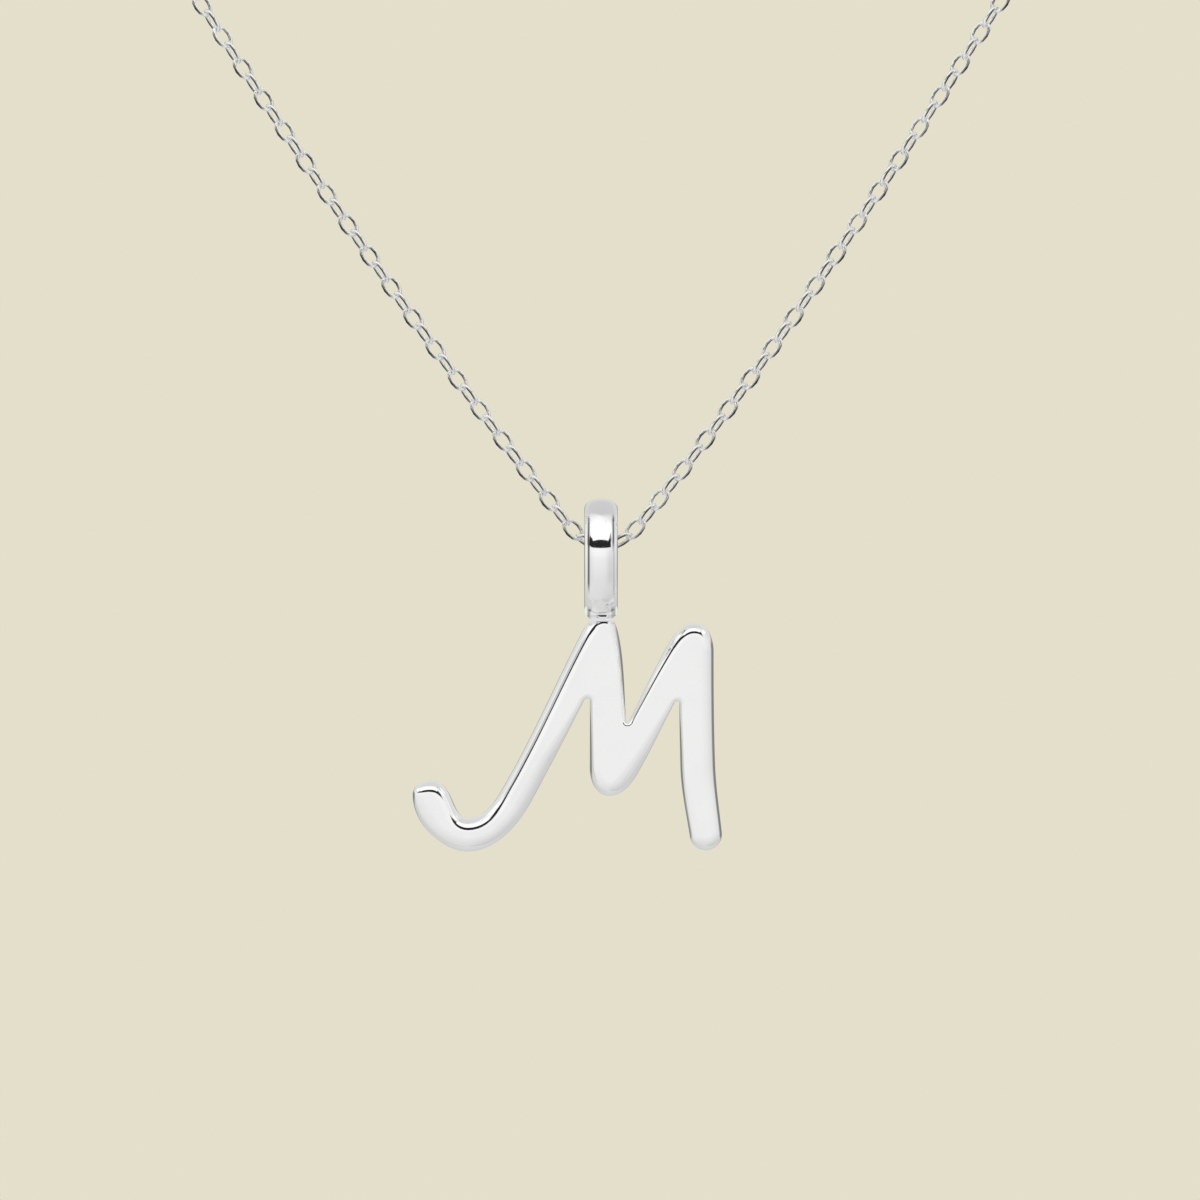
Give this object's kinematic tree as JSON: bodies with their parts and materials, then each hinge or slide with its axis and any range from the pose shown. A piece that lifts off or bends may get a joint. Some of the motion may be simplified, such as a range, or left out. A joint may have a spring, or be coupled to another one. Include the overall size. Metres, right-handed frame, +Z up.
{
  "type": "initial pendant on a fine cable chain",
  "caption": "Polished silver script initial soldered under a ring bail, swinging on a fine cable chain closed at the nape by a ring clasp.",
  "frame": {"origin": "middle of the closed clasp, where the chain lies on the nape", "axes": "+Z up; -Y to the front, so the letter's face looks along -Y; +X to the right of someone who looks at the letter's face"},
  "size_m": [0.1164, 0.1161, 0.1249],
  "materials": {
    "polished_silver": "mirror-polished sterling silver",
    "chain_silver": "bright drawn silver wire",
    "clasp_silver": "polished silver, lightly worn"
  },
  "bodies": {
    "necklace": {"chain": "chain_silver", "clasp": "clasp_silver"},
    "pendant": {"initial_pendant": "polished_silver"}
  },
  "joints": [
    {"name": "pendant_swing", "type": "hinge", "parent": "necklace", "child": "pendant", "pos_m": [0, -0.112, -0.104], "axis": [1, 0, 0], "range_deg": [-80, 80]}
  ]
}
